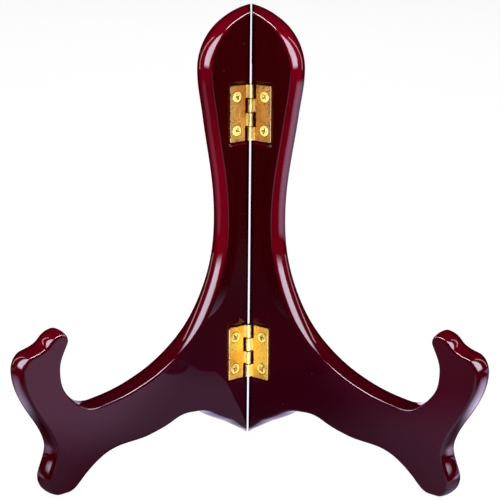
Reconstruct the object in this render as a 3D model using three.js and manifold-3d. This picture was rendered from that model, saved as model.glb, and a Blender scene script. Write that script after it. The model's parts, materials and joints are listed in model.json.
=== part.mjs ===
// Folding plate display stand: two mirrored lacquered boards joined along an upright spine by two
// brass butt hinges. Millimetres, +Z up. The stand opens towards -Y, stands on z = 0 and has the
// middle of its footprint at the origin. A plate's rim sits in the two hooks and leans on the spine.
import * as THREE from 'three';
import { mergeVertices } from 'three/addons/utils/BufferGeometryUtils.js';
import Module from 'manifold-3d';

const wasm = await Module();
wasm.setup();

// Driving dimensions.
const OPEN_ANGLE = 103; // degrees between the two front faces as the stand is set up
const BOARD_THICKNESS = 11;
const BOARD_EDGE_RADIUS = 2;
const SPINE_SLIT = 1; // between the two mitred spine edges
const PIN_PROUD = 0.3; // how far the hinge axis stands in front of the boards' front faces
const CLEARANCE = 0.3; // between pieces that touch on the real object

const HINGE_HEIGHT = 25.4;
const HINGE_CENTRES = { upper: 157, lower: 45.2 };
const LEAF_WIDTH = 10.8; // from the hinge axis to the leaf's outer edge
const LEAF_THICKNESS = 0.8;
const KNUCKLE_COUNT = 4;
const KNUCKLE_RADIUS = 1.4;
const KNUCKLE_GAP = 0.3;
const KNUCKLE_NOTCH = 2.5; // a leaf's plate starts this far out beside the other leaf's knuckles
const PIN_RADIUS = 0.7;
const PIN_BORE_RADIUS = 0.78;
const MORTISE_END_MARGIN = 1.2;
const MORTISE_SIDE_MARGIN = 1;

const SCREW_FROM_AXIS = 7.2;
const SCREW_SPACING = 15.2;
const SCREW_HEAD_RADIUS = 2.6;
const SCREW_HEAD_RIM = 0.2;
const SCREW_CONE_HEIGHT = 1.5;
const SCREW_SHANK_RADIUS = 1.1;
const SCREW_LENGTH = 8;
const SCREW_POINT = 1.6;
const SCREW_PROUD = 0.15; // how far a head stands in front of its leaf
const RECESS = { span: 3, width: 0.6, depth: 0.9 };

const ROUND_SEGMENTS = 24;
const SCREW_SEGMENTS = 20;
const LAYER = { top: 260, bottom: -40, far: 60 }; // reach of the cutters, past the whole board

const WING_TURN = THREE.MathUtils.degToRad((180 - OPEN_ANGLE) / 2);
const LEAF_BACK = KNUCKLE_RADIUS;
const LEAF_FRONT = LEAF_BACK - LEAF_THICKNESS;
const MORTISE_FLOOR = LEAF_BACK + CLEARANCE;
const BOARD_FRONT = PIN_PROUD;
const BOARD_BACK = PIN_PROUD + BOARD_THICKNESS;

// Outline of one board in its own plane: out from the hinge axis, up from the floor, and the
// direction of travel in degrees. It runs from the peak, down the outer side and back to the spine.
// Both ends pass the spine, where the mitre cuts them off.
const OUTLINE = [
  { out: -14, up: 204.3, heading: 0 }, // peak
  { out: 9.5, up: 198.3, heading: -30 }, // shoulder
  { out: 22.5, up: 177, heading: -90 }, // widest part of the head
  { out: 19.5, up: 156, heading: -99 },
  { out: 13, up: 111, heading: -91 }, // waist
  { out: 19.5, up: 77, heading: -65 },
  { out: 38, up: 53.5, heading: -37 }, // flare into the arm
  { out: 61.5, up: 41.5, heading: -18 },
  { out: 82, up: 37.5, heading: -6 }, // seat
  { out: 98.5, up: 47, heading: 56 }, // bottom of the hook
  { out: 101, up: 57.5, heading: 90 },
  { out: 97, up: 68.5, heading: 115 }, // inner side of the hook's tip
  { out: 100, up: 74, heading: -2 }, // tip
  { out: 107, up: 70.8, heading: -48 },
  { out: 115.5, up: 67, heading: -13 }, // step behind the tip
  { out: 121, up: 58.5, heading: -92 }, // outermost point
  { out: 116, up: 42.5, heading: -118 },
  { out: 106, up: 24, heading: -107 }, // ankle
  { out: 109.3, up: 9.5, heading: -75 },
  { out: 103.5, up: 0, heading: 180 }, // foot, flat underneath
  { out: 99.5, up: 0, heading: 180 },
  { out: 89, up: 6.8, heading: 141 },
  { out: 73, up: 14.8, heading: 172 }, // arch
  { out: 55.5, up: 16, heading: 169 },
  { out: 42, up: 19.7, heading: 157 },
  { out: 29.5, up: 20.7, heading: 193 },
  { out: 18.5, up: 14.8, heading: 212 }, // lobe under the spine
  { out: 0, up: 4.9, heading: 211 },
  { out: -7.5, up: 0.2, heading: 200 }, // heel
  { out: -14, up: 0, heading: 180 },
];
const HANDLE_SHARE = 0.36; // length of a curve's handles as a share of its chord
const CURVE_SEGMENTS = 5;
const EDGE_SEGMENTS = 3;

const lacquer = new THREE.MeshStandardMaterial({ color: 0x3d0610, roughness: 0.12, metalness: 0 });
const brass = new THREE.MeshStandardMaterial({ color: 0xb08d46, roughness: 0.35, metalness: 1 });
const screwBrass = new THREE.MeshStandardMaterial({ color: 0xc9a558, roughness: 0.28, metalness: 1 });

function solidFrom(geometry) {
  const bare = geometry.clone();
  bare.deleteAttribute('normal');
  bare.deleteAttribute('uv');
  const merged = mergeVertices(bare, 1e-4);
  const vertProperties = merged.getAttribute('position').array;
  const triVerts = new Uint32Array(merged.index.array);
  return new wasm.Manifold(new wasm.Mesh({ numProp: 3, vertProperties, triVerts }));
}

function geometryFrom(solid) {
  const mesh = solid.getMesh();
  const geometry = new THREE.BufferGeometry();
  geometry.setAttribute('position', new THREE.BufferAttribute(mesh.vertProperties, mesh.numProp));
  geometry.setIndex(new THREE.BufferAttribute(mesh.triVerts, 1));
  geometry.computeVertexNormals();
  return geometry;
}

// A box between two corners.
function box(low, high) {
  const size = high.map((value, i) => value - low[i]);
  const middle = high.map((value, i) => (value + low[i]) / 2);
  return new THREE.BoxGeometry(...size).translate(...middle);
}

function uprightCylinder(radius, bottom, top) {
  const cylinder = new THREE.CylinderGeometry(radius, radius, top - bottom, ROUND_SEGMENTS);
  return cylinder.rotateX(Math.PI / 2).translate(0, 0, (top + bottom) / 2);
}

// The outline as cubic curves that leave and reach each station along its heading.
function boardShape() {
  const shape = new THREE.Shape();
  shape.moveTo(OUTLINE[0].out, OUTLINE[0].up);
  for (let i = 1; i < OUTLINE.length; i++) {
    const from = OUTLINE[i - 1];
    const to = OUTLINE[i];
    const handle = HANDLE_SHARE * Math.hypot(to.out - from.out, to.up - from.up);
    const leave = THREE.MathUtils.degToRad(from.heading);
    const reach = THREE.MathUtils.degToRad(to.heading);
    shape.bezierCurveTo(
      from.out + handle * Math.cos(leave),
      from.up + handle * Math.sin(leave),
      to.out - handle * Math.cos(reach),
      to.up - handle * Math.sin(reach),
      to.out,
      to.up,
    );
  }
  shape.closePath();
  return shape;
}

// Screw profile as radius and depth from the head's face, grown by a clearance for the hole it sits in.
function screwProfile(grow) {
  const coneEnd = SCREW_HEAD_RIM + SCREW_CONE_HEIGHT;
  const front = grow > 0 ? -1 : 0;
  const points = [
    [0, SCREW_LENGTH + grow],
    [SCREW_SHANK_RADIUS + grow, SCREW_LENGTH + grow - SCREW_POINT],
    [SCREW_SHANK_RADIUS + grow, coneEnd],
    [SCREW_HEAD_RADIUS + grow, SCREW_HEAD_RIM],
    [SCREW_HEAD_RADIUS + grow, front],
    [0, front],
  ];
  return points.reverse().map(([radius, depth]) => new THREE.Vector2(radius, depth));
}

function screwGeometry() {
  const { span, width, depth } = RECESS;
  let screw = solidFrom(new THREE.LatheGeometry(screwProfile(0), SCREW_SEGMENTS));
  for (const turn of [0, Math.PI / 2]) {
    const slot = box([-span / 2, -depth, -width / 2], [span / 2, depth, width / 2]);
    screw = screw.subtract(solidFrom(slot.rotateY(turn)));
  }
  return geometryFrom(screw);
}

// Where the two screws of one hinge leaf go, in the board's frame.
function screwPlaces(hingeCentre) {
  return {
    top: [SCREW_FROM_AXIS, LEAF_FRONT - SCREW_PROUD, hingeCentre + SCREW_SPACING / 2],
    bottom: [SCREW_FROM_AXIS, LEAF_FRONT - SCREW_PROUD, hingeCentre - SCREW_SPACING / 2],
  };
}

function drillScrewHoles(solid, hingeCentre) {
  let drilled = solid;
  for (const place of Object.values(screwPlaces(hingeCentre))) {
    const drill = new THREE.LatheGeometry(screwProfile(CLEARANCE), SCREW_SEGMENTS).translate(...place);
    drilled = drilled.subtract(solidFrom(drill));
  }
  return drilled;
}

// One board in its own frame: x out from the hinge axis, y back from it, z up.
function boardGeometry() {
  const blank = new THREE.ExtrudeGeometry(boardShape(), {
    depth: BOARD_THICKNESS - 2 * BOARD_EDGE_RADIUS,
    curveSegments: CURVE_SEGMENTS,
    bevelThickness: BOARD_EDGE_RADIUS,
    bevelSize: BOARD_EDGE_RADIUS,
    bevelOffset: -BOARD_EDGE_RADIUS,
    bevelSegments: EDGE_SEGMENTS,
  });
  blank.rotateX(Math.PI / 2).translate(0, BOARD_BACK - BOARD_EDGE_RADIUS, 0);

  const beyondMitre = box([-LAYER.far, -LAYER.far, LAYER.bottom], [SPINE_SLIT / 2, LAYER.far, LAYER.top]);
  beyondMitre.rotateZ(WING_TURN);
  let board = solidFrom(blank).subtract(solidFrom(beyondMitre));

  const mortiseReach = LEAF_WIDTH + MORTISE_SIDE_MARGIN;
  const mortiseHalf = HINGE_HEIGHT / 2 + MORTISE_END_MARGIN;
  for (const centre of Object.values(HINGE_CENTRES)) {
    const mortise = box([-LEAF_WIDTH, -1, centre - mortiseHalf], [mortiseReach, MORTISE_FLOOR, centre + mortiseHalf]);
    board = drillScrewHoles(board.subtract(solidFrom(mortise)), centre);
  }
  return geometryFrom(board);
}

// One hinge leaf in the board's frame. Knuckle rows count from the top; it owns every second one.
function leafGeometry(firstRow, centre) {
  const bottom = centre - HINGE_HEIGHT / 2;
  const top = centre + HINGE_HEIGHT / 2;
  const rowHeight = HINGE_HEIGHT / KNUCKLE_COUNT;
  let leaf = solidFrom(box([KNUCKLE_NOTCH, LEAF_FRONT, bottom], [LEAF_WIDTH, LEAF_BACK, top]));
  for (let row = firstRow; row < KNUCKLE_COUNT; row += 2) {
    const knuckleTop = top - row * rowHeight - (row > 0 ? KNUCKLE_GAP / 2 : 0);
    const knuckleBottom = top - (row + 1) * rowHeight + (row < KNUCKLE_COUNT - 1 ? KNUCKLE_GAP / 2 : 0);
    const web = box([0, LEAF_FRONT, knuckleBottom], [KNUCKLE_NOTCH + 1, LEAF_BACK, knuckleTop]);
    leaf = leaf.add(solidFrom(web));
    leaf = leaf.add(solidFrom(uprightCylinder(KNUCKLE_RADIUS, knuckleBottom, knuckleTop)));
  }
  leaf = leaf.subtract(solidFrom(uprightCylinder(PIN_BORE_RADIUS, bottom - 1, top + 1)));
  return geometryFrom(drillScrewHoles(leaf, centre));
}

function named(name, geometry, material) {
  const mesh = new THREE.Mesh(geometry, material);
  mesh.name = name;
  return mesh;
}

// Quarter and part turns that the recesses were left at, per screw.
const SCREW_TURNS = {
  upper_left_screw_top: 20,
  upper_left_screw_bottom: 65,
  upper_right_screw_top: 48,
  upper_right_screw_bottom: 8,
  lower_left_screw_top: 35,
  lower_left_screw_bottom: 80,
  lower_right_screw_top: 12,
  lower_right_screw_bottom: 55,
};

const board = boardGeometry();
const screw = screwGeometry();
const assembly = new THREE.Group();

for (const side of ['left', 'right']) {
  const half = new THREE.Group(); // the left half is the right one mirrored
  half.scale.x = side === 'left' ? -1 : 1;
  const wing = new THREE.Group();
  wing.rotation.z = -WING_TURN;
  wing.add(named(`${side}_wing`, board, lacquer.clone()));
  for (const [level, centre] of Object.entries(HINGE_CENTRES)) {
    const firstRow = side === 'left' ? 0 : 1;
    wing.add(named(`${level}_${side}_leaf`, leafGeometry(firstRow, centre), brass.clone()));
    for (const [end, place] of Object.entries(screwPlaces(centre))) {
      const name = `${level}_${side}_screw_${end}`;
      const mesh = named(name, screw, screwBrass.clone());
      mesh.position.set(...place);
      mesh.rotation.y = THREE.MathUtils.degToRad(SCREW_TURNS[name]);
      wing.add(mesh);
    }
  }
  half.add(wing);
  assembly.add(half);
}

for (const [level, centre] of Object.entries(HINGE_CENTRES)) {
  const pin = uprightCylinder(PIN_RADIUS, centre - HINGE_HEIGHT / 2, centre + HINGE_HEIGHT / 2);
  assembly.add(named(`${level}_hinge_pin`, pin, brass.clone()));
}

// The hinge axis is put so far back that the footprint's middle is at the origin.
const reach = new THREE.Box3().setFromObject(assembly, true);
assembly.position.y = -(reach.min.y + reach.max.y) / 2;

const stand = new THREE.Group();
stand.add(assembly);

export default stand;
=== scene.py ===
import json
import math

import bmesh
import bpy
from mathutils import Matrix, Vector

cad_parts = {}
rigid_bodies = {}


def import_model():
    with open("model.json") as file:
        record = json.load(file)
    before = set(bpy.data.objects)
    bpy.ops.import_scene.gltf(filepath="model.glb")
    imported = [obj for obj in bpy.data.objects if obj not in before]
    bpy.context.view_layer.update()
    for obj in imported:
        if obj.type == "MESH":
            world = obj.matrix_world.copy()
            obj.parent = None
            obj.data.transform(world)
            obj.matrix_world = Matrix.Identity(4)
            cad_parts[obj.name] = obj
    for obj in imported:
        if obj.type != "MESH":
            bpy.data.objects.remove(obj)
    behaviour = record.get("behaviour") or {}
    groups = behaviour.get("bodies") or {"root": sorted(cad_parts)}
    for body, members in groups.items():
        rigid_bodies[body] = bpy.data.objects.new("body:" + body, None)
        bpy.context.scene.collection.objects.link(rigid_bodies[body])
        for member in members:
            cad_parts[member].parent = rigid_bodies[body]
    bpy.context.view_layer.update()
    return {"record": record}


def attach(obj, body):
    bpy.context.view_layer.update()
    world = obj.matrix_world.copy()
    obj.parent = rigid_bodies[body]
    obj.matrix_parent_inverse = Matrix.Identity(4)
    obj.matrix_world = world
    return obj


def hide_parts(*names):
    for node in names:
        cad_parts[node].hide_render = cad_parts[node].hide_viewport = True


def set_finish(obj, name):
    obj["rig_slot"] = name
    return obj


# Folding plate display stand: two dark red lacquered boards, two brass butt hinges, eight brass screws.
# Boards and hinges are modelled in millimetres in a board's own frame: x out from the hinge axis, y back
# from it and z up. settle() then puts each piece in its place in metres. Materials, floor, lights and
# camera are in metres.
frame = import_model()
MM = 0.001
BODY_OF = {"left": "left_half", "right": "right_half"}
SIGN_OF = {"left": -1, "right": 1}

AXIS_Y = frame["record"]["behaviour"]["joints"][0]["pos_m"][1] / MM
WING_TURN = math.radians(38.5)
BOARD_FRONT = 0.3
BOARD_BACK = 11.3
SPINE_SLIT = 0.8
SPINE_ROUND = {"front": 1.3, "back": 0.6}

HINGE_HEIGHT = 25.4
HINGE_CENTRES = {"upper": 157.0, "lower": 45.2}
LEAF_WIDTH = 10.8
LEAF_FRONT = 0.6
LEAF_BACK = 1.4
LEAF_ROUND = 0.2
LEAF_CORNER = 0.5
TAB_START = 0.3
TAB_CORNER = 0.36
TAB_SHY = 0.04
MORTISE_FLOOR = 1.7
MORTISE_END_MARGIN = 1.2
MORTISE_SIDE_MARGIN = 1.0
MORTISE_LIP = 0.45
MORTISE_CORNERS = [0.5, 0.7, 0.7, 0.5]
KNUCKLE_COUNT = 4
KNUCKLE_RADIUS = 1.4
KNUCKLE_GAP = 0.3
KNUCKLE_NOTCH = 2.5
KNUCKLE_SOFT = 0.22
KNUCKLE_CORE = 0.2
PIN_RADIUS = 0.7
PIN_BORE_RADIUS = 0.78
PIN_DOME = 0.3

SCREW_FROM_AXIS = 7.2
SCREW_SPACING = 15.2
SCREW_PROUD = 0.15
SCREW_HEAD_RADIUS = 2.6
SCREW_SHANK_RADIUS = 1.1
SCREW_LENGTH = 8.0
HOLE_RIM_DEPTH = 0.2
HOLE_CONE_DEPTH = 1.7
HOLE_SPARE_DEPTH = 0.4
BOARD_HOLE_CLEARANCE = 0.2
LEAF_HOLE_CLEARANCE = 0.1
SCREW_TURNS = {
    ("upper", "left", "top"): 20,
    ("upper", "left", "bottom"): 65,
    ("upper", "right", "top"): 48,
    ("upper", "right", "bottom"): 8,
    ("lower", "left", "top"): 35,
    ("lower", "left", "bottom"): 80,
    ("lower", "right", "top"): 12,
    ("lower", "right", "bottom"): 55,
}
# A screw's cross recess: (depth, half length, half width) of an arm, and (depth, half side) of the well
# where the arms cross. The rounding of their corners is a share of the half width or half side.
RECESS_ARM = [(-0.6, 1.9, 0.34), (0.0, 1.75, 0.3), (0.5, 1.35, 0.23), (0.9, 0.8, 0.16)]
RECESS_ARM_ROUND = 0.6
RECESS_WELL = [(-0.6, 1.1), (0.0, 1.04), (0.36, 0.84), (0.42, 0.78)]
RECESS_WELL_ROUND = 0.3

# Outline of a board: (out, up, direction of travel in degrees), from the peak down the outer side and
# back along the underside to the spine.
OUTLINE = [
    (-14, 204.3, 0),
    (9.5, 198.3, -30),
    (22.5, 177, -90),
    (19.5, 156, -99),
    (13, 111, -91),
    (19.5, 77, -65),
    (38, 53.5, -37),
    (61.5, 41.5, -18),
    (82, 37.5, -6),
    (98.5, 47, 56),
    (101, 57.5, 90),
    (97, 68.5, 115),
    (100, 74, -2),
    (107, 70.8, -48),
    (115.5, 67, -13),
    (121, 58.5, -92),
    (116, 42.5, -118),
    (106, 24, -107),
    (109.3, 9.5, -75),
    (103.5, 0, 180),
    (99.5, 0, 180),
    (89, 6.8, 141),
    (73, 14.8, 172),
    (55.5, 16, 169),
    (42, 19.7, 157),
    (29.5, 20.7, 193),
    (18.5, 14.8, 212),
    (0, 4.9, 211),
    (-7.5, 0.2, 200),
    (-14, 0, 180),
]
HANDLE_SHARE = 0.36
OUTLINE_STEP = 0.9
# The underside beside the spine is cut back at the front face. The cut grows and ends over these spans
# of x, and only what lies below HEEL_TOP takes it.
HEEL_DRAFT = 2.0
HEEL_TOP = 24
HEEL_DRAFT_GROWS = (1, 10)
HEEL_DRAFT_ENDS = (20, 32)

# Narrow flat rims round the broad faces keep the shading of the rounded edges off them.
BOARD_RIM = 0.25
LEAF_RIM = 0.12
# Edges that turn more than this many degrees stay sharp.
SHARP_BOARD = 38
SHARP_HINGE = 40
SHARP_SCREW = 35
ROUND_SEGMENTS = 64
HOLE_SEGMENTS = 48
CUTTER_REACH = 1.0
WELD_DISTANCE = 1e-5
TINY = 1e-6


# ---------------------------------------------------------------- mesh helpers


def link_mesh(name, bm):
    """An object in the scene made from bm, which it uses up."""
    mesh = bpy.data.meshes.new(name)
    bm.to_mesh(mesh)
    bm.free()
    obj = bpy.data.objects.new(name, mesh)
    bpy.context.scene.collection.objects.link(obj)
    return obj


def new_object(name, bm):
    """A clean mesh object from bm, still in millimetres: settle() turns it into metres."""
    bmesh.ops.remove_doubles(bm, verts=bm.verts, dist=WELD_DISTANCE)
    bmesh.ops.recalc_face_normals(bm, faces=bm.faces)
    return link_mesh(name, bm)


def loft(rings):
    """A closed skin over rings of the same number of points."""
    bm = bmesh.new()
    loops = [[bm.verts.new(p) for p in ring] for ring in rings]
    count = len(loops[0])
    for low, high in zip(loops, loops[1:]):
        for i in range(count):
            j = (i + 1) % count
            bm.faces.new((low[i], low[j], high[j], high[i]))
    bm.faces.new(loops[0])
    bm.faces.new(loops[-1])
    return bm


def boolean(target, cutter, operation):
    """Cuts the cutter from target or joins it on, and removes the cutter."""
    modifier = target.modifiers.new("cut", "BOOLEAN")
    modifier.operation = operation
    modifier.object = cutter
    modifier.solver = "EXACT"
    graph = bpy.context.evaluated_depsgraph_get()
    made = bpy.data.meshes.new_from_object(target.evaluated_get(graph))
    target.modifiers.clear()
    target.data = made
    bpy.data.objects.remove(cutter)


def lathe(profile, centre, segments, upright=False):
    """A turned solid from (radius, along) pairs: along is depth behind the front, or height if upright."""
    rings = []
    for radius, along in profile:
        ring = []
        for i in range(segments):
            a = 2 * math.pi * i / segments
            x = radius * math.cos(a)
            y = radius * math.sin(a)
            offset = Vector((x, y, along)) if upright else Vector((x, along, y))
            ring.append(Vector(centre) + offset)
        rings.append(ring)
    return loft(rings)


def offset_points(points, insets, closed):
    """points moved by their insets to the right of the travel, which is into a clockwise outline."""
    moved = []
    count = len(points)
    for i, p in enumerate(points):
        before = points[(i - 1) % count] if closed or i > 0 else p
        after = points[(i + 1) % count] if closed or i < count - 1 else p
        along = (Vector(after) - Vector(before)).normalized()
        moved.append((p[0] + along.y * insets[i], p[1] - along.x * insets[i]))
    return moved


def fillet(corners, radii, segments=6):
    """A closed outline through corners, each rounded to its radius."""
    points = []
    count = len(corners)
    for i, corner in enumerate(corners):
        c = Vector(corner)
        a = (Vector(corners[i - 1]) - c).normalized()
        b = (Vector(corners[(i + 1) % count]) - c).normalized()
        half = a.angle(b) / 2
        back = radii[i] / math.tan(half)
        middle = c + (a + b).normalized() * (radii[i] / math.sin(half))
        start = c + a * back - middle
        end = c + b * back - middle
        turn = start.angle_signed(end)
        for k in range(segments + 1):
            arm = start.copy()
            arm.rotate(Matrix.Rotation(-turn * k / segments, 2))
            points.append(tuple(middle + arm))
    return points


def slab(outline, profile):
    """A plate over a clockwise closed outline, from (depth, inset) pairs."""
    rings = []
    for depth, inset in profile:
        ring = offset_points(outline, [inset] * len(outline), closed=True)
        rings.append([(x, depth, z) for x, z in ring])
    return loft(rings)


def rounded_profile(front, back, radius, segments=4):
    """(depth, inset) pairs of a plate whose two edges are rounded, with a rim on each face."""
    pairs = []
    for k in range(segments + 1):
        a = math.pi / 2 * k / segments
        pairs.append((front + radius * (1 - math.sin(a)), radius * (1 - math.cos(a))))
    pairs.reverse()
    for k in range(segments + 1):
        a = math.pi / 2 * k / segments
        pairs.append((back - radius * (1 - math.sin(a)), radius * (1 - math.cos(a))))
    return [(front, radius + LEAF_RIM)] + pairs + [(back, radius + LEAF_RIM)]


def settle(obj, matrix, left=False):
    """Puts a finished piece in its place in metres, and keeps its own coordinates for its material."""
    own = obj.data.attributes.new("own", "FLOAT_VECTOR", "POINT")
    for vertex, value in zip(obj.data.vertices, own.data):
        value.vector = vertex.co * MM
    if left:
        obj.data.transform(Matrix.Diagonal((-1, 1, 1, 1)))
        obj.data.flip_normals()
    obj.data.transform(matrix @ Matrix.Scale(MM, 4))


def finish_surface(obj, sharp_degrees):
    """Smooth shading with sharp edges kept, and normals that follow the larger faces."""
    obj.data.shade_smooth()
    obj.data.set_sharp_from_angle(angle=math.radians(sharp_degrees))
    modifier = obj.modifiers.new("flat_faces", "WEIGHTED_NORMAL")
    modifier.keep_sharp = True
    modifier.weight = 100


def wing_matrix(side):
    """Turns a board's own frame about the hinge axis to its place at rest, in metres."""
    turn = Matrix.Rotation(-SIGN_OF[side] * WING_TURN, 4, "Z")
    return Matrix.Translation((0, AXIS_Y * MM, 0)) @ turn


# ---------------------------------------------------------------- boards


def outline_points():
    """Points along the smooth curve through the outline's stations."""
    points = []
    for a, b in zip(OUTLINE, OUTLINE[1:]):
        start = Vector(a[:2])
        end = Vector(b[:2])
        chord = (end - start).length
        handle = HANDLE_SHARE * chord
        leave = math.radians(a[2])
        reach = math.radians(b[2])
        first = start + handle * Vector((math.cos(leave), math.sin(leave)))
        second = end - handle * Vector((math.cos(reach), math.sin(reach)))
        count = max(4, math.ceil(chord / OUTLINE_STEP))
        for i in range(count):
            t = i / count
            s = 1 - t
            p = s**3 * start + 3 * s * s * t * first + 3 * s * t * t * second + t**3 * end
            points.append(tuple(p))
    points.append(OUTLINE[-1][:2])
    return points


def inset_scales(points, deepest):
    """How much of the full inset each point takes, less where the outline turns tightly."""
    reach = 2
    radius_share = 0.9
    smoothing_passes = 12
    count = len(points)
    scales = []
    for i in range(count):
        a = Vector(points[max(i - reach, 0)])
        b = Vector(points[i])
        c = Vector(points[min(i + reach, count - 1)])
        if (b - a).length < TINY or (c - b).length < TINY:
            scales.append(1.0)
            continue
        turn = (b - a).angle_signed(c - b)
        radius = ((b - a).length + (c - b).length) / 2 / max(turn, TINY)
        scales.append(min(1.0, radius_share * radius / deepest) if turn > 0 else 1.0)
    for _ in range(smoothing_passes):
        scales = [
            (scales[max(i - 1, 0)] + 2 * scales[i] + scales[min(i + 1, count - 1)]) / 4
            for i in range(count)
        ]
    return scales


def ramp(value, low, high):
    """0 below low, 1 above high and a smooth rise between them."""
    t = min(1.0, max(0.0, (value - low) / (high - low)))
    return t * t * (3 - 2 * t)


def heel_draft(point):
    """How far the underside beside the spine is cut back at the front face."""
    x, z = point
    if z > HEEL_TOP:
        return 0.0
    return HEEL_DRAFT * ramp(x, *HEEL_DRAFT_GROWS) * (1 - ramp(x, *HEEL_DRAFT_ENDS))


def board_profile():
    """(depth, inset) pairs: a small front roundover, a slightly crowned side and a soft back edge."""
    lean_front = math.radians(16)
    lean_back = math.radians(-8)
    front_radius = 1.15
    back_radius = 2.0
    thickness = BOARD_BACK - BOARD_FRONT
    front_depth = front_radius * (1 - math.sin(lean_front))
    back_depth = back_radius * (1 + math.sin(lean_back))
    crown = (thickness - front_depth - back_depth) / math.cos((lean_front + lean_back) / 2)
    arcs = [
        (math.pi / 2, lean_front, front_radius * (math.pi / 2 - lean_front), 8),
        (lean_front, lean_back, crown, 16),
        (lean_back, -math.pi / 2, back_radius * (lean_back + math.pi / 2), 9),
    ]
    pairs = [(0.0, 0.0)]
    for start, end, length, steps in arcs:
        for k in range(steps):
            lean = start + (end - start) * (k + 0.5) / steps
            depth, inset = pairs[-1]
            step = length / steps
            pairs.append((depth + step * math.cos(lean), inset - step * math.sin(lean)))
    widest = min(inset for _, inset in pairs)
    stretch = thickness / pairs[-1][0]
    profile = [(BOARD_FRONT + depth * stretch, inset - widest) for depth, inset in pairs]
    profile[-1] = (BOARD_BACK, profile[-1][1])
    first = (BOARD_FRONT, profile[0][1] + BOARD_RIM)
    last = (BOARD_BACK, profile[-1][1] + BOARD_RIM)
    return [first] + profile + [last]


def board_skin():
    """The whole board before it is cut: its outline swept through its side profile."""
    points = outline_points()
    profile = board_profile()
    scales = inset_scales(points, max(inset for _, inset in profile))
    drafts = [heel_draft(p) for p in points]
    rings = []
    for depth, inset in profile:
        share = (BOARD_BACK - depth) / (BOARD_BACK - BOARD_FRONT)
        insets = [inset * scale + share * draft for scale, draft in zip(scales, drafts)]
        ring = offset_points(points, insets, closed=False)
        rings.append([(x, depth, z) for x, z in ring])
    bm = loft(rings)
    bmesh.ops.recalc_face_normals(bm, faces=bm.faces)
    return bm


def cut_flat(bm, normal, offset):
    """Takes away what lies beyond the plane normal . p = offset and closes the cut."""
    n = Vector(normal).normalized()
    made = bmesh.ops.bisect_plane(
        bm,
        geom=bm.verts[:] + bm.edges[:] + bm.faces[:],
        plane_co=n * offset,
        plane_no=n,
        clear_outer=True,
    )
    cut = [e for e in made["geom_cut"] if isinstance(e, bmesh.types.BMEdge)]
    if cut:
        bmesh.ops.contextual_create(bm, geom=cut)


def round_corner(bm, first, second, radius, steps=6):
    """Rounds the upright corner between two planes, each (normal, offset) in x and y."""
    (n1, a1), (n2, a2) = first, second
    det = n1[0] * n2[1] - n1[1] * n2[0]
    cx = ((a1 - radius) * n2[1] - (a2 - radius) * n1[1]) / det
    cy = (n1[0] * (a2 - radius) - n2[0] * (a1 - radius)) / det
    v1 = Vector(n1)
    between = v1.angle_signed(Vector(n2))
    for k in range(1, steps + 1):
        n = v1.copy()
        n.rotate(Matrix.Rotation(-between * k / (steps + 1), 2))
        cut_flat(bm, (n.x, n.y, 0), n.x * cx + n.y * cy + radius)


def cut_spine(bm):
    """Mitres the board along the spine and rounds the mitre's two edges."""
    c, s = math.cos(WING_TURN), math.sin(WING_TURN)
    mitre = ((-c, -s), -SPINE_SLIT / 2)
    cut_flat(bm, (*mitre[0], 0), mitre[1])
    round_corner(bm, ((0, -1), -BOARD_FRONT), mitre, SPINE_ROUND["front"])
    round_corner(bm, mitre, ((0, 1), BOARD_BACK), SPINE_ROUND["back"])


def mortise_cutter(centre):
    """The shallow pocket behind a leaf, widening to a rounded lip at the board's face."""
    half = HINGE_HEIGHT / 2 + MORTISE_END_MARGIN
    left, right = -LEAF_WIDTH, LEAF_WIDTH + MORTISE_SIDE_MARGIN
    corners = [
        (left, centre + half),
        (right, centre + half),
        (right, centre - half),
        (left, centre - half),
    ]
    outline = fillet(corners, MORTISE_CORNERS)
    profile = [(MORTISE_FLOOR, 0.0), (BOARD_FRONT + MORTISE_LIP, 0.0)]
    lip_steps = 5
    for k in range(1, lip_steps + 1):
        a = math.pi / 2 * k / lip_steps
        depth = BOARD_FRONT + MORTISE_LIP * (1 - math.sin(a))
        profile.append((depth, -MORTISE_LIP * (1 - math.cos(a))))
    profile.append((BOARD_FRONT - CUTTER_REACH, -MORTISE_LIP))
    return new_object("mortise", slab(outline, profile))


def screw_places(centre):
    """Where the middles of a leaf's two screw heads are."""
    depth = LEAF_FRONT - SCREW_PROUD
    return {
        "top": (SCREW_FROM_AXIS, depth, centre + SCREW_SPACING / 2),
        "bottom": (SCREW_FROM_AXIS, depth, centre - SCREW_SPACING / 2),
    }


def screw_hole_cutter(place, clearance):
    """A countersunk hole that leaves that clearance round a screw."""
    profile = [
        (SCREW_HEAD_RADIUS + clearance, -CUTTER_REACH),
        (SCREW_HEAD_RADIUS + clearance, HOLE_RIM_DEPTH + clearance),
        (SCREW_SHANK_RADIUS + clearance, HOLE_CONE_DEPTH + clearance),
        (SCREW_SHANK_RADIUS + clearance, SCREW_LENGTH + HOLE_SPARE_DEPTH),
    ]
    return new_object("hole", lathe(profile, place, HOLE_SEGMENTS))


def make_board(side):
    skin = board_skin()
    cut_spine(skin)
    board = new_object(side + "_board", skin)
    for centre in HINGE_CENTRES.values():
        boolean(board, mortise_cutter(centre), "DIFFERENCE")
        for place in screw_places(centre).values():
            boolean(board, screw_hole_cutter(place, BOARD_HOLE_CLEARANCE), "DIFFERENCE")
    settle(board, wing_matrix(side), left=side == "left")
    finish_surface(board, SHARP_BOARD)
    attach(board, BODY_OF[side])
    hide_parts(side + "_wing")
    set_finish(board, "lacquered_wood")
    return board


# ---------------------------------------------------------------- hinges


def row_span(row, centre):
    """The heights between which a hinge's knuckle of that row lies, counted from the top."""
    top = centre + HINGE_HEIGHT / 2
    height = HINGE_HEIGHT / KNUCKLE_COUNT
    high = top - row * height - (KNUCKLE_GAP / 2 if row > 0 else 0)
    low = top - (row + 1) * height + (KNUCKLE_GAP / 2 if row < KNUCKLE_COUNT - 1 else 0)
    return low, high


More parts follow.
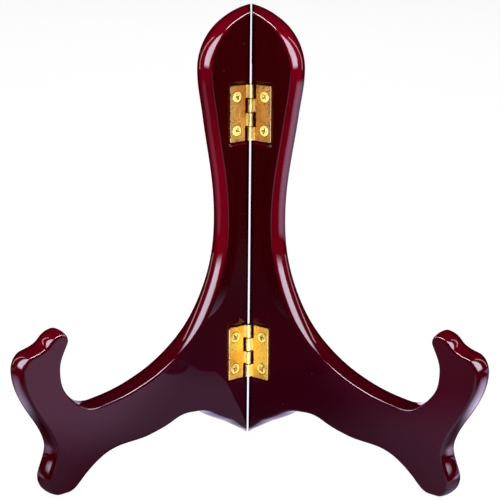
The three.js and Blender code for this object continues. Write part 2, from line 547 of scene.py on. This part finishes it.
def first_row_of(side):
    """The left leaf has the even rows of knuckles and the right leaf the odd ones."""
    return 0 if side == "left" else 1


def leaf_outline(side, centre):
    """Clockwise outline of a leaf's plate with a tab at each of its own knuckles."""
    top = centre + HINGE_HEIGHT / 2
    bottom = centre - HINGE_HEIGHT / 2
    corners = [(LEAF_WIDTH, top), (LEAF_WIDTH, bottom)]
    for row in reversed(range(KNUCKLE_COUNT)):
        own = row % 2 == first_row_of(side)
        low, high = row_span(row, centre)
        low, high = low + TAB_SHY, high - TAB_SHY
        if row == KNUCKLE_COUNT - 1:
            corners.append((TAB_START if own else KNUCKLE_NOTCH, bottom))
        elif own:
            corners += [(KNUCKLE_NOTCH, low), (TAB_START, low)]
        if own:
            corners.append((TAB_START, high))
            if row > 0:
                corners.append((KNUCKLE_NOTCH, high))
        elif row == 0:
            corners.append((KNUCKLE_NOTCH, top))
    radii = [LEAF_CORNER] * 2 + [TAB_CORNER] * (len(corners) - 2)
    return fillet(corners, radii, 5)


def knuckle_profile(low, high):
    """(radius, height) pairs of one rolled knuckle with softened ends."""
    steps = 4
    pairs = [(KNUCKLE_CORE, low)]
    for k in range(steps + 1):
        a = math.pi / 2 * k / steps
        radius = KNUCKLE_RADIUS - KNUCKLE_SOFT * (1 - math.sin(a))
        pairs.append((radius, low + KNUCKLE_SOFT * (1 - math.cos(a))))
    for k in range(steps + 1):
        a = math.pi / 2 * k / steps
        radius = KNUCKLE_RADIUS - KNUCKLE_SOFT * (1 - math.cos(a))
        pairs.append((radius, high - KNUCKLE_SOFT * (1 - math.sin(a))))
    return pairs + [(KNUCKLE_CORE, high)]


def make_leaf(level, side):
    centre = HINGE_CENTRES[level]
    name = level + "_hinge_" + side + "_plate"
    plate = slab(leaf_outline(side, centre), rounded_profile(LEAF_FRONT, LEAF_BACK, LEAF_ROUND))
    leaf = new_object(name, plate)
    for row in range(first_row_of(side), KNUCKLE_COUNT, 2):
        low, high = row_span(row, centre)
        knuckle = lathe(knuckle_profile(low, high), (0, 0, 0), ROUND_SEGMENTS, upright=True)
        boolean(leaf, new_object("knuckle", knuckle), "UNION")
    bottom = centre - HINGE_HEIGHT / 2 - CUTTER_REACH
    top = centre + HINGE_HEIGHT / 2 + CUTTER_REACH
    bore = lathe([(PIN_BORE_RADIUS, bottom), (PIN_BORE_RADIUS, top)], (0, 0, 0), HOLE_SEGMENTS, upright=True)
    boolean(leaf, new_object("bore", bore), "DIFFERENCE")
    for place in screw_places(centre).values():
        boolean(leaf, screw_hole_cutter(place, LEAF_HOLE_CLEARANCE), "DIFFERENCE")
    settle(leaf, wing_matrix(side), left=side == "left")
    finish_surface(leaf, SHARP_HINGE)
    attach(leaf, BODY_OF[side])
    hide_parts(level + "_" + side + "_leaf")
    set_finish(leaf, "hinge_brass")
    return leaf


def make_pin(level):
    centre = HINGE_CENTRES[level]
    low = centre - HINGE_HEIGHT / 2
    high = centre + HINGE_HEIGHT / 2
    steps = 6
    first = 0.3
    pairs = []
    for k in range(steps + 1):
        a = math.pi / 2 * (k + first) / (steps + first)
        pairs.append((PIN_RADIUS * math.sin(a), low + PIN_DOME * (1 - math.cos(a))))
    pairs = pairs + [(r, high + low - z) for r, z in reversed(pairs)]
    pin = new_object(level + "_pin", lathe(pairs, (0, 0, 0), HOLE_SEGMENTS, upright=True))
    settle(pin, Matrix.Translation((0, AXIS_Y * MM, 0)))
    finish_surface(pin, SHARP_HINGE)
    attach(pin, "left_half")
    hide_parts(level + "_hinge_pin")
    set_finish(pin, "hinge_brass")
    return pin


def recess_ring(depth, half_length, half_width, radius, segments):
    """A rounded rectangle round the screw's own axis, at that depth."""
    corners = [
        (-half_length, half_width),
        (half_length, half_width),
        (half_length, -half_width),
        (-half_length, -half_width),
    ]
    return [(x, depth, z) for x, z in fillet(corners, [radius] * 4, segments)]


def recess_cutter(rings, turn):
    bm = loft(rings)
    bmesh.ops.rotate(bm, verts=bm.verts, matrix=Matrix.Rotation(turn, 3, "Y"))
    return new_object("recess", bm)


def recess_arm(turn):
    """One bar of the cross recess: long at the face, short and narrow at its bottom."""
    rings = [
        recess_ring(depth, length, width, width * RECESS_ARM_ROUND, 4)
        for depth, length, width in RECESS_ARM
    ]
    return recess_cutter(rings, turn)


def recess_well():
    """The square well in the middle of the cross, an eighth of a turn from the bars."""
    rings = [recess_ring(depth, half, half, half * RECESS_WELL_ROUND, 3) for depth, half in RECESS_WELL]
    return recess_cutter(rings, math.pi / 4)


def screw_profile():
    """(radius, depth) pairs of a screw, from the middle of its slightly domed head to its point."""
    dome = [(0.3, 0.0), (1.0, 0.012), (1.8, 0.045), (2.2, 0.08), (2.4, 0.115)]
    r = SCREW_HEAD_RADIUS
    rim = [(r - 0.06, 0.17), (r, 0.24), (r - 0.05, 0.31)]
    neck = [(SCREW_SHANK_RADIUS + 0.15, 1.6), (SCREW_SHANK_RADIUS, 1.85)]
    point = [(SCREW_SHANK_RADIUS, SCREW_LENGTH - 1.8), (0.9, SCREW_LENGTH - 1.5), (0.1, SCREW_LENGTH)]
    return dome + rim + neck + point


def make_screw(level, side, end):
    name = level + "_" + side + "_screw_head_" + end
    screw = new_object(name, lathe(screw_profile(), (0, 0, 0), ROUND_SEGMENTS))
    for turn in (0, math.pi / 2):
        boolean(screw, recess_arm(turn), "DIFFERENCE")
    boolean(screw, recess_well(), "DIFFERENCE")
    sign = SIGN_OF[side]
    x, y, z = screw_places(HINGE_CENTRES[level])[end]
    spin = Matrix.Rotation(math.radians(sign * SCREW_TURNS[(level, side, end)]), 4, "Y")
    place = Matrix.Translation((sign * x * MM, y * MM, z * MM))
    settle(screw, wing_matrix(side) @ place @ spin)
    finish_surface(screw, SHARP_SCREW)
    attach(screw, BODY_OF[side])
    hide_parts(level + "_" + side + "_screw_" + end)
    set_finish(screw, "screw_brass")
    return screw


# ---------------------------------------------------------------- materials

# Linear colours of the lacquer. A pair runs from the darker grain to the lighter.
LACQUER = {
    # face and side: the sides' brighter red is partly the edges' redder stain and partly painted light from
    # the side lamps.
    "face": ((0.082, 0.0010, 0.0034), (0.102, 0.0014, 0.0044)),
    "side": ((0.245, 0.0009, 0.0125), (0.340, 0.0014, 0.0180)),
    # low_face: a painted reflection, the plum sheen of the mirrored floor low on the faces.
    "low_face": (0.105, 0.0012, 0.0240),
    # low_side: painted shade, where the lower sides get less light.
    "low_side": (0.032, 0.0008, 0.0060),
    "clouded": (0.060, 0.0006, 0.0020),
    # rear: painted shade on the back part of the sides.
    "rear": (0.040, 0.0005, 0.0016),
    # slit: painted shade in the slit between the boards.
    "slit": (0.003, 0.0002, 0.0005),
    "rubbed": (0.22, 0.006, 0.012),
    "speck": (0.42, 0.17, 0.21),
}
# Depths between which the side of a board turns into its duller rear, which is also darkened there by
# painted shade.
REAR = (0.0055, 0.0098)
SPECK_SHARE = 0.4

# Bright, amber and tarnished tones of a hinge's sheet, and the noise level where tarnish starts.
BRASS_COLOURS = {
    "upper": ((0.70, 0.42, 0.10), (0.54, 0.24, 0.04), (0.28, 0.12, 0.06), 0.48),
    "lower": ((0.80, 0.55, 0.085), (0.70, 0.37, 0.04), (0.44, 0.20, 0.04), 0.54),
}
# Painted highlight on the leaves' edges, and painted highlight on the barrel.
EDGE_HIGHLIGHT_COLOUR = (1.0, 0.83, 0.62)
BARREL_HIGHLIGHT_COLOUR = (1.0, 0.90, 0.44)
TURNED_COLOURS = ((1.0, 0.80, 0.26), (0.92, 0.62, 0.16))
RECESS_DARK_COLOUR = (0.14, 0.06, 0.012)
TURNING_PITCH = 0.00016


class Shader:
    """A material's node tree with short calls for the nodes used here."""

    def __init__(self, name, shift=(0, 0, 0)):
        self.material = bpy.data.materials.new(name)
        self.material.use_nodes = True
        self.tree = self.material.node_tree
        self.principled = self.tree.nodes["Principled BSDF"]
        self.coords = self.node("ShaderNodeTexCoord")
        own = self.node("ShaderNodeAttribute", attribute_type="GEOMETRY", attribute_name="own")
        self.own = own.outputs["Vector"]
        shifted = self.node("ShaderNodeVectorMath", operation="ADD")
        self.put(shifted.inputs[0], self.own)
        shifted.inputs[1].default_value = shift
        self.shifted = shifted.outputs["Vector"]

    def node(self, kind, **settings):
        made = self.tree.nodes.new(kind)
        for key, value in settings.items():
            setattr(made, key, value)
        return made

    def put(self, socket, value):
        """Links value to the socket if it is a socket too, and otherwise sets it there."""
        if isinstance(value, bpy.types.NodeSocket):
            self.tree.links.new(value, socket)
        elif isinstance(value, tuple) and len(value) == 3 and socket.type == "RGBA":
            socket.default_value = (*value, 1)
        else:
            socket.default_value = value

    def set(self, **values):
        for key, value in values.items():
            self.put(self.principled.inputs[key.replace("_", " ")], value)

    def split(self, vector):
        made = self.node("ShaderNodeSeparateXYZ")
        self.put(made.inputs[0], vector)
        return made.outputs["X"], made.outputs["Y"], made.outputs["Z"]

    def stretched(self, scale, location=(0, 0, 0), vector=None):
        made = self.node("ShaderNodeMapping")
        self.put(made.inputs["Vector"], vector or self.shifted)
        made.inputs["Location"].default_value = location
        made.inputs["Scale"].default_value = scale
        return made.outputs["Vector"]

    def noise(self, scale, detail=3.0, roughness=0.5, distortion=0.0, vector=None):
        made = self.node("ShaderNodeTexNoise")
        self.put(made.inputs["Vector"], vector or self.shifted)
        made.inputs["Scale"].default_value = scale
        made.inputs["Detail"].default_value = detail
        made.inputs["Roughness"].default_value = roughness
        made.inputs["Distortion"].default_value = distortion
        return made.outputs["Fac"]

    def math(self, operation, a, b=0.0):
        made = self.node("ShaderNodeMath", operation=operation)
        self.put(made.inputs[0], a)
        self.put(made.inputs[1], b)
        return made.outputs[0]

    def product(self, first, *others):
        """All the values multiplied together."""
        for other in others:
            first = self.math("MULTIPLY", first, other)
        return first

    def rest(self, value):
        """What value leaves of 1."""
        return self.math("SUBTRACT", 1.0, value)

    def span(self, value, low, high, to_low=0.0, to_high=1.0):
        """A smooth change from to_low at low to to_high at high."""
        made = self.node("ShaderNodeMapRange", interpolation_type="SMOOTHSTEP")
        self.put(made.inputs["Value"], value)
        made.inputs["From Min"].default_value = low
        made.inputs["From Max"].default_value = high
        made.inputs["To Min"].default_value = to_low
        made.inputs["To Max"].default_value = to_high
        return made.outputs["Result"]

    def fade(self, value, low, high):
        """1 below low and 0 above high."""
        return self.span(value, low, high, 1.0, 0.0)

    def band(self, value, rise, fall):
        """1 between two soft edges, each a (from, to) pair, and 0 outside them."""
        return self.product(self.span(value, *rise), self.fade(value, *fall))

    def mix(self, factor, a, b):
        made = self.node("ShaderNodeMix", data_type="RGBA")
        self.put(made.inputs["Factor"], factor)
        self.put(made.inputs[6], a)
        self.put(made.inputs[7], b)
        return made.outputs[2]

    def bump(self, height, distance, normal=None):
        made = self.node("ShaderNodeBump")
        made.inputs["Strength"].default_value = 1.0
        made.inputs["Distance"].default_value = distance
        self.put(made.inputs["Height"], height)
        if normal:
            self.put(made.inputs["Normal"], normal)
        return made.outputs["Normal"]

    def faceness(self, side):
        """1 on the broad faces of that side's board and leaves, and 0 on their edges."""
        turn = SIGN_OF[side] * WING_TURN
        dot = self.node("ShaderNodeVectorMath", operation="DOT_PRODUCT")
        self.put(dot.inputs[0], self.coords.outputs["Normal"])
        dot.inputs[1].default_value = (math.sin(turn), math.cos(turn), 0)
        return self.math("ABSOLUTE", dot.outputs["Value"])


def wood_grain(s, side):
    """The fine grain, and a tone from 0 to 1 made of the grain and a broader figure."""
    place = s.stretched((1.0, 1.0, 0.07), (0.3 * SIGN_OF[side], 0.1, 0.7), s.own)
    grain = s.noise(850, 4.0, 0.6, 0.3, place)
    figure = s.noise(70, 3.0, 0.55, 1.2, place)
    both = s.math("ADD", s.product(grain, 0.45), s.product(figure, 0.55))
    return grain, s.span(both, 0.36, 0.64)


def painted_slit_shade(s, x, y):
    """Painted shade: strong on the mitred faces that close the slit between the boards, and 0 beyond them.
    """
    across = s.math("ADD", s.product(x, math.cos(WING_TURN)), s.product(y, math.sin(WING_TURN)))
    return s.span(across, 0.0009, 0.0019, 0.92, 0.0)


def dust_specks(s):
    """1 on small round specks, in some of the cells of a Voronoi pattern."""
    cells = s.node("ShaderNodeTexVoronoi")
    s.put(cells.inputs["Vector"], s.shifted)
    cells.inputs["Scale"].default_value = 190
    few = s.node("ShaderNodeSeparateColor")
    s.put(few.inputs[0], cells.outputs["Color"])
    spot = s.fade(cells.outputs["Distance"], 0.03, 0.055)
    return s.product(spot, s.math("GREATER_THAN", few.outputs[0], 1 - SPECK_SHARE))


def lacquer_coat(s, side, y, z, faceness):
    """Weight of the clear coat: weaker at the rear, and duller low on the right board's faces."""
    coat = s.span(y, *REAR, 1.0, 0.35)
    if side == "right":
        low_face = s.product(s.fade(z, 0.05, 0.10), s.span(faceness, 0.9, 0.98))
        coat = s.product(coat, s.rest(s.product(low_face, 0.6)))
    return coat


def lacquer(side):
    """Dark red wood under clear lacquer. The sides of a board are brighter than its faces, partly from the
    edges' redder stain and partly as painted light.
    """
    s = Shader(side + "_lacquer", (0.4 * SIGN_OF[side], 0.2, 0.1))
    grain, tone = wood_grain(s, side)
    x, y, z = s.split(s.own)
    faceness = s.faceness(side)
    spine = painted_slit_shade(s, x, y)
    speck = dust_specks(s)
    corner = s.band(faceness, (0.25, 0.5), (0.8, 0.95))
    rubbed = s.product(corner, s.span(s.noise(240, 5.0, 0.65), 0.5, 0.68), s.rest(spine))

    face_colour = s.mix(tone, *LACQUER["face"])
    # Painted reflection: towards the bottom the faces turn to the plum sheen of the mirrored floor.
    face_colour = s.mix(s.span(z, 0.03, 0.10, 0.9, 0.0), face_colour, LACQUER["low_face"])
    side_colour = s.mix(tone, *LACQUER["side"])
    # Painted shade: the sides darken towards the bottom.
    side_colour = s.mix(s.span(z, 0.035, 0.105, 0.82, 0.0), side_colour, LACQUER["low_side"])
    # Painted light in part: the sides take a brighter red than the faces, beside the edges' own redder
    # stain.
    colour = s.mix(s.span(faceness, 0.55, 0.98), side_colour, face_colour)
    cloud = s.span(s.noise(18, 2.0, 0.5), 0.35, 0.7)
    colour = s.mix(s.product(cloud, 0.35), colour, LACQUER["clouded"])
    # Painted shade: the sides darken towards their back edge.
    colour = s.mix(s.product(s.span(y, *REAR), 0.85), colour, LACQUER["rear"])
    # Painted shade on the mitred faces in the slit between the boards.
    colour = s.mix(spine, colour, LACQUER["slit"])
    colour = s.mix(s.product(rubbed, 0.5), colour, LACQUER["rubbed"])
    colour = s.mix(s.product(speck, 0.65), colour, LACQUER["speck"])

    rough = s.span(s.noise(60, 4.0, 0.6), 0.3, 0.7, 0.16, 0.28)
    rough = s.math("ADD", rough, s.product(s.math("MAXIMUM", speck, rubbed), 0.25))
    peel = s.bump(s.noise(330, 2.0, 0.5), 0.0000035)
    pores = s.bump(grain, 0.0000012, peel)
    dust = s.bump(speck, 0.00003, pores)
    s.set(
        Base_Color=colour,
        Roughness=rough,
        Specular_IOR_Level=0.0,
        Coat_Weight=lacquer_coat(s, side, y, z, faceness),
        Coat_Roughness=0.03,
        Coat_IOR=1.5,
        Coat_Normal=dust,
        Normal=dust,
    )
    return s.material


def sheet_brass(level, side):
    """Rolled sheet brass with tarnish, streaks and dents, edges with a painted pale highlight and polish
    wear, and a barrel painted bright as a highlight.
    """
    bright, amber, brown, tarnish_from = BRASS_COLOURS[level]
    s = Shader(level + "_" + side + "_hinge_brass", (0.3 * SIGN_OF[side], 0.5, 0.2))
    patches = s.noise(230, 6.0, 0.62, 0.6)
    broad = s.noise(95, 3.0, 0.5, 0.4)
    streak = s.noise(1500, 3.0, 0.5, 0.0, s.stretched((1.0, 1.0, 0.04)))
    x, _, _ = s.split(s.own)
    barrel = s.fade(x, 0.0017, 0.0023)
    edge_highlight_and_wear = s.product(s.band(s.faceness(side), (0.15, 0.45), (0.75, 0.96)), s.rest(barrel))

    colour = s.mix(s.span(broad, 0.38, 0.62), bright, amber)
    colour = s.mix(s.span(patches, tarnish_from, tarnish_from + 0.18), colour, brown)
    colour = s.mix(s.product(s.span(streak, 0.35, 0.7), 0.25), colour, bright)
    # Painted highlight: pale edges; their lower roughness is polish wear.
    colour = s.mix(s.product(edge_highlight_and_wear, 0.75), colour, EDGE_HIGHLIGHT_COLOUR)
    # Painted highlight: the barrel is painted paler.
    colour = s.mix(s.product(barrel, 0.7), colour, BARREL_HIGHLIGHT_COLOUR)
    rough = s.span(patches, 0.35, 0.65, 0.26, 0.42)
    rough = s.math("SUBTRACT", rough, s.product(edge_highlight_and_wear, 0.1))
    lines = s.bump(streak, 0.000004)
    dents = s.bump(s.noise(420, 3.0, 0.5), 0.000018, lines)
    s.set(Base_Color=colour, Metallic=1.0, Roughness=rough, Normal=dents)
    return s.material


def turned_brass(name):
    """Turned brass with fine rings round the screw's axis, darker on the walls and bottom of its recess."""
    s = Shader(name)
    x, depth, z = s.split(s.own)
    radius = s.math("SQRT", s.math("ADD", s.product(x, x), s.product(z, z)))
    rings = s.math("SINE", s.product(radius, 2 * math.pi / TURNING_PITCH))
    mottle = s.noise(500, 5.0, 0.6)
    colour = s.mix(s.span(mottle, 0.35, 0.7), *TURNED_COLOURS)
    # The recess is darker on its walls and darkest at its bottom.
    walls = s.band(depth, (0.00009, 0.00017), (0.00036, 0.00040))
    recess_dark = s.math("MAXIMUM", walls, s.span(depth, 0.00050, 0.00070))
    colour = s.mix(s.product(recess_dark, 0.85), colour, RECESS_DARK_COLOUR)
    rough = s.span(mottle, 0.3, 0.7, 0.30, 0.40)
    turned = s.bump(rings, 0.0000015)
    nicks = s.bump(s.noise(900, 4.0, 0.6), 0.00001, turned)
    s.set(Base_Color=colour, Metallic=1.0, Roughness=rough, Normal=nicks)
    return s.material


def glow(name, colour):
    """The shader of a black surface that only gives off light of that colour."""
    s = Shader(name)
    s.set(Base_Color=(0, 0, 0), Specular_IOR_Level=0.0, Emission_Color=colour)
    return s


# ---------------------------------------------------------------- build the stand

SCREW_MATERIAL = turned_brass("turned_screw_brass")
for side in ("left", "right"):
    make_board(side).data.materials.append(lacquer(side))
    for level in HINGE_CENTRES:
        brass = sheet_brass(level, side)
        make_leaf(level, side).data.materials.append(brass)
        if side == "left":
            make_pin(level).data.materials.append(brass)
        for end in ("top", "bottom"):
            make_screw(level, side, end).data.materials.append(SCREW_MATERIAL)


# ---------------------------------------------------------------- floor, lights and camera

FLOOR_RADIUS = 12.0
FLOOR_HEIGHT = -0.0002
FLOOR_COLOUR = (0.12, 0.12, 0.12)
FLOOR_GLOW = 0.93
SHEET_RADIUS = 1.2
SHEET_HEIGHT = -0.0006
SHEET_COLOUR = (0.78, 0.64, 1.0)

STAND_MIDDLE = (0, 0, 0.09)
BRASS_SLOTS = ("hinge_brass", "screw_brass")
PANEL_COLOUR = (0.86, 0.84, 1.0)
STRIP_COLOUR = (1, 0.68, 0.66)
HINGE_LIGHT_COLOUR = (1, 0.97, 0.92)
WORLD_COLOUR = (0.96, 0.96, 0.97)

CAMERA_LENS = 114.76
CAMERA_DISTANCE = 0.700
CAMERA_HEIGHT = 0.2860
CAMERA_TURN = math.radians(0.75)
CAMERA_ASIDE = math.radians(0.027)
CAMERA_DOWN = math.radians(15.38)
CAMERA_ROLL = math.radians(0.53)


def disc(name, radius, height, segments=128):
    """A round one-sided sheet of the set."""
    bm = bmesh.new()
    angles = [2 * math.pi * i / segments for i in range(segments)]
    bm.faces.new([bm.verts.new((radius * math.cos(a), radius * math.sin(a), height)) for a in angles])
    obj = link_mesh(name, bm)
    return obj


def pale_floor():
    """What the camera sees under and behind the stand."""
    floor = disc("floor", FLOOR_RADIUS, FLOOR_HEIGHT)
    material = bpy.data.materials.new("pale_floor")
    material.use_nodes = True
    principled = material.node_tree.nodes["Principled BSDF"]
    principled.inputs["Base Color"].default_value = (*FLOOR_COLOUR, 1)
    principled.inputs["Roughness"].default_value = 0.9
    principled.inputs["Emission Color"].default_value = (1, 1, 1, 1)
    principled.inputs["Emission Strength"].default_value = FLOOR_GLOW
    floor.data.materials.append(material)
    floor.visible_diffuse = False
    floor.visible_glossy = False


def sheet_light(s, x, y):
    """The lit sheet's strength: a strip under the stand that widens behind it, with darker places."""
    aside = s.math("ABSOLUTE", x)
    strip = s.fade(aside, 0.12, 0.20)
    behind = s.product(s.span(y, -0.03, 0.06), s.fade(aside, 0.50, 0.70))
    weak_left = s.span(x, -0.05, 0.02, 0.3, 1.0)
    strong_back = s.span(y, 0.0, 0.14, 1.0, 2.1)
    dark_back_left = s.product(s.fade(x, -0.30, -0.15), s.span(y, 0.06, 0.20))
    across = s.fade(s.math("ABSOLUTE", s.math("SUBTRACT", y, 0.01)), 0.025, 0.06)
    less_in_middle = s.span(s.math("ABSOLUTE", s.math("SUBTRACT", x, 0.03)), 0.03, 0.10, 0.5, 1.0)
    dark_band = s.product(across, less_in_middle)
    light = s.product(s.math("MAXIMUM", strip, behind), weak_left, strong_back)
    return s.product(light, s.rest(dark_back_left), s.rest(dark_band))


def foot_light(s, x, y):
    """Two bright places beside the feet, the right one brighter, which light up the boards' sides."""
    across = s.band(s.math("ABSOLUTE", x), (0.11, 0.14), (0.18, 0.26))
    along = s.band(y, (-0.045, -0.015), (0.01, 0.06))
    return s.product(across, along, s.span(x, -0.05, 0.05, 1.5, 3.6))


def heel_light(s, x, y):
    """A bright place behind the spine, which shows in the undersides of the heels."""
    across = s.span(s.math("ABSOLUTE", x), 0.03, 0.07, 1.2, 0.0)
    return s.product(across, s.band(y, (0.015, 0.035), (0.05, 0.09)))


def near_floor():
    """The lit sheet that the stand mirrors instead of the floor that the camera sees."""
    sheet = disc("lit_sheet", SHEET_RADIUS, SHEET_HEIGHT)
    s = glow("lit_sheet", SHEET_COLOUR)
    x, y, _ = s.split(s.coords.outputs["Object"])
    strongest = s.math("MAXIMUM", sheet_light(s, x, y), foot_light(s, x, y))
    s.set(Emission_Strength=s.math("MAXIMUM", strongest, heel_light(s, x, y)))
    sheet.data.materials.append(s.material)
    sheet.visible_camera = False
    sheet.visible_diffuse = False


def aim(obj, centre, target):
    """Puts obj at centre with its front towards target."""
    obj.location = centre
    direction = Vector(target) - Vector(centre)
    obj.rotation_euler = direction.to_track_quat("-Z", "Y").to_euler()


def panel(name, centre, target, size, radiance, colour, soft):
    """A glowing panel facing target, fading out over the share soft of its half width and height."""
    w, h = size[0] / 2, size[1] / 2
    bm = bmesh.new()
    bm.faces.new([bm.verts.new(p) for p in ((-w, -h, 0), (w, -h, 0), (w, h, 0), (-w, h, 0))])
    obj = link_mesh(name, bm)
    aim(obj, centre, target)
    s = glow(name, colour)
    x, y, _ = s.split(s.coords.outputs["Object"])
    across = s.span(s.math("ABSOLUTE", x), w * (1 - soft), w, radiance, 0.0)
    upward = s.fade(s.math("ABSOLUTE", y), h * (1 - soft), h)
    s.set(Emission_Strength=s.product(across, upward))
    obj.data.materials.append(s.material)
    obj.visible_camera = False
    obj.visible_diffuse = False


def softbox(name, centre, target, size, radiance, colour, glossy=True, diffuse=True):
    """An area light of that radiance facing target, which may be kept from reflections or diffuse light."""
    light = bpy.data.lights.new(name, "AREA")
    light.shape = "RECTANGLE"
    light.size, light.size_y = size
    light.energy = radiance * math.pi * size[0] * size[1]
    light.color = colour
    obj = bpy.data.objects.new(name, light)
    aim(obj, centre, target)
    obj.visible_camera = False
    obj.visible_glossy = glossy
    obj.visible_diffuse = diffuse
    bpy.context.scene.collection.objects.link(obj)
    return obj


def brass_pieces(slots):
    """The pieces of those material slots as a collection, for the lights that only they take."""
    name = "_and_".join(slots)
    found = bpy.data.collections.get(name)
    if found is None:
        found = bpy.data.collections.new(name)
        for obj in bpy.context.scene.objects:
            if obj.get("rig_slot") in slots:
                found.objects.link(obj)
    return found


def hinge_light(name, centre, size, radiance, slots=BRASS_SLOTS):
    """A soft light that only the brass takes, so that the lacquer round it stays dark."""
    target = (0, AXIS_Y * MM, 0.1)
    light = softbox(name + "_hinge_light", centre, target, size, radiance, HINGE_LIGHT_COLOUR)
    light.light_linking.receiver_collection = brass_pieces(slots)
    light.light_linking.blocker_collection = brass_pieces(BRASS_SLOTS)


def side_lights(name, sign):
    """One side's lights: two that show in the lacquer, two for the brass and two fills for the wood."""
    panel(name + "_panel", (sign * 0.76, -0.06, 0.55), STAND_MIDDLE, (0.32, 1.1), 12, PANEL_COLOUR, 0.35)
    softbox(name + "_strip", (sign * 0.80, 0.30, 0.42), STAND_MIDDLE, (0.05, 0.8), 6, STRIP_COLOUR)
    hinge_light(name, (sign * 0.55, -0.20, -0.10), (0.26, 0.20), 14)
    softbox(
        name + "_side_fill",
        centre=(sign * 1.1, 0.1, 0.15),
        target=(0, 0, 0.12),
        size=(0.4, 0.4),
        radiance=22,
        colour=(1, 0.97, 0.97),
        glossy=False,
    )
    softbox(
        name + "_head_fill",
        centre=(sign * 0.22, -0.28, 0.36),
        target=(0, 0, 0.15),
        size=(0.12, 0.12),
        radiance=9.5,
        colour=(1, 0.97, 0.95),
        glossy=False,
    )
    hinge_light(name + "_screw", (sign * 0.55, -0.20, -0.08), (0.30, 0.26), 16, ("screw_brass",))


def studio():
    pale_floor()
    near_floor()
    for name, sign in SIGN_OF.items():
        side_lights(name, sign)
    hinge_light("front", (0, -0.70, -0.16), (0.5, 0.28), 20)
    above = (0, 0.03, 1.2)
    softbox("overhead", above, STAND_MIDDLE, (0.8, 0.3), 28, (1, 0.95, 0.98), diffuse=False)
    above = (0, 0.1, 1.2)
    softbox("top_fill", above, STAND_MIDDLE, (0.8, 0.6), 0.6, (1, 0.98, 0.97), glossy=False)
    for name, sign in (("front_fill", -1), ("back_fill", 1)):
        place = (0, sign * 1.6, 0.9)
        softbox(name, place, STAND_MIDDLE, (0.9, 0.6), 3.0, (1, 0.98, 0.95), glossy=False)


def bright_world():
    """The pale backdrop, which only the camera sees."""
    world = bpy.data.worlds.new("studio")
    world.use_nodes = True
    background = world.node_tree.nodes["Background"]
    background.inputs["Color"].default_value = (*WORLD_COLOUR, 1)
    background.inputs["Strength"].default_value = 1.0
    world.cycles_visibility.glossy = False
    world.cycles_visibility.diffuse = False
    bpy.context.scene.world = world


def make_camera():
    data = bpy.data.cameras.new("camera")
    data.sensor_width = 36.0
    data.lens = CAMERA_LENS
    data.clip_start = 0.05
    data.clip_end = 50.0
    camera = bpy.data.objects.new("camera", data)
    back = Vector((math.sin(CAMERA_TURN), math.cos(CAMERA_TURN))) * CAMERA_DISTANCE
    camera.location = (-back.x, AXIS_Y * MM - back.y, CAMERA_HEIGHT)
    heading = Matrix.Rotation(-CAMERA_TURN - CAMERA_ASIDE, 4, "Z")
    pitch = Matrix.Rotation(math.radians(90) - CAMERA_DOWN, 4, "X")
    roll = Matrix.Rotation(CAMERA_ROLL, 4, "Z")
    camera.rotation_euler = (heading @ pitch @ roll).to_euler()
    bpy.context.scene.collection.objects.link(camera)
    bpy.context.scene.camera = camera


studio()
bright_world()
make_camera()
bpy.context.scene.view_settings.view_transform = "Standard"
